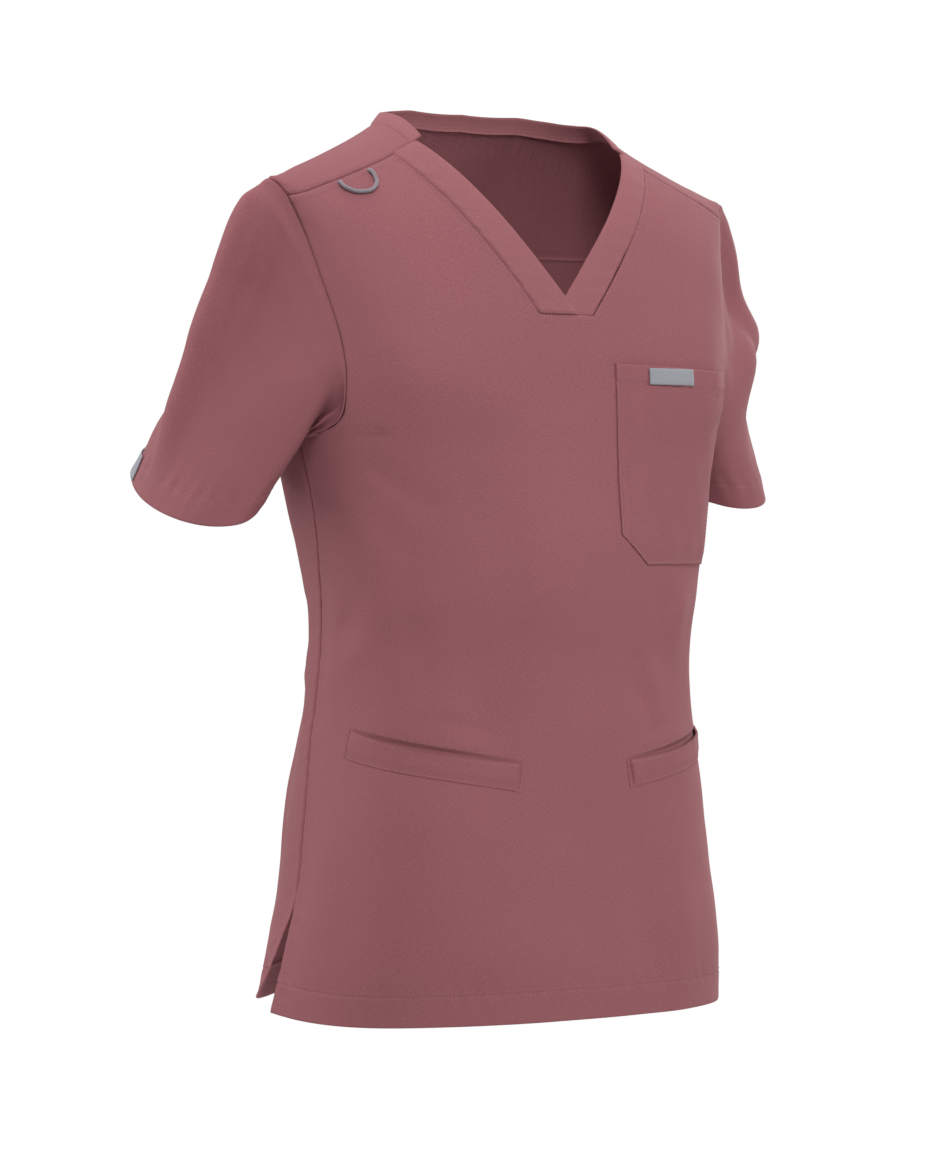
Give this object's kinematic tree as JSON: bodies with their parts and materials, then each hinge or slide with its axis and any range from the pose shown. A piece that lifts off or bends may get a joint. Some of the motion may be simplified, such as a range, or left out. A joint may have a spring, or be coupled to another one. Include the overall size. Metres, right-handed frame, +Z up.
{
  "type": "medical scrub top",
  "caption": "V-neck short-sleeved scrub top in its worn shape, with shoulder yoke, chest patch pocket, slanted lower pockets, badge loop and side vents",
  "frame": {"origin": "midway between the two points where the shoulders meet the neck, where the wearer's shoulders carry the garment", "axes": "+X to the wearer's left, -Y to the front, +Z up"},
  "size_m": [0.5735, 0.2383, 0.697],
  "materials": {
    "rose_cloth": "matte",
    "grey_woven": "satin",
    "grey_cord": "satin"
  },
  "bodies": {
    "root": {"front": "rose_cloth", "back": "rose_cloth", "yoke": "rose_cloth", "sleeve_right_front": "rose_cloth", "sleeve_right_back": "rose_cloth", "sleeve_left_front": "rose_cloth", "sleeve_left_back": "rose_cloth", "neck_band_right": "rose_cloth", "neck_band_left": "rose_cloth", "back_neckband": "rose_cloth", "chest_pocket": "rose_cloth", "welt_right": "rose_cloth", "welt_left": "rose_cloth", "pocket_label": "grey_woven", "cuff_tab": "grey_woven", "badge_loop": "grey_cord"}
  },
  "joints": []
}
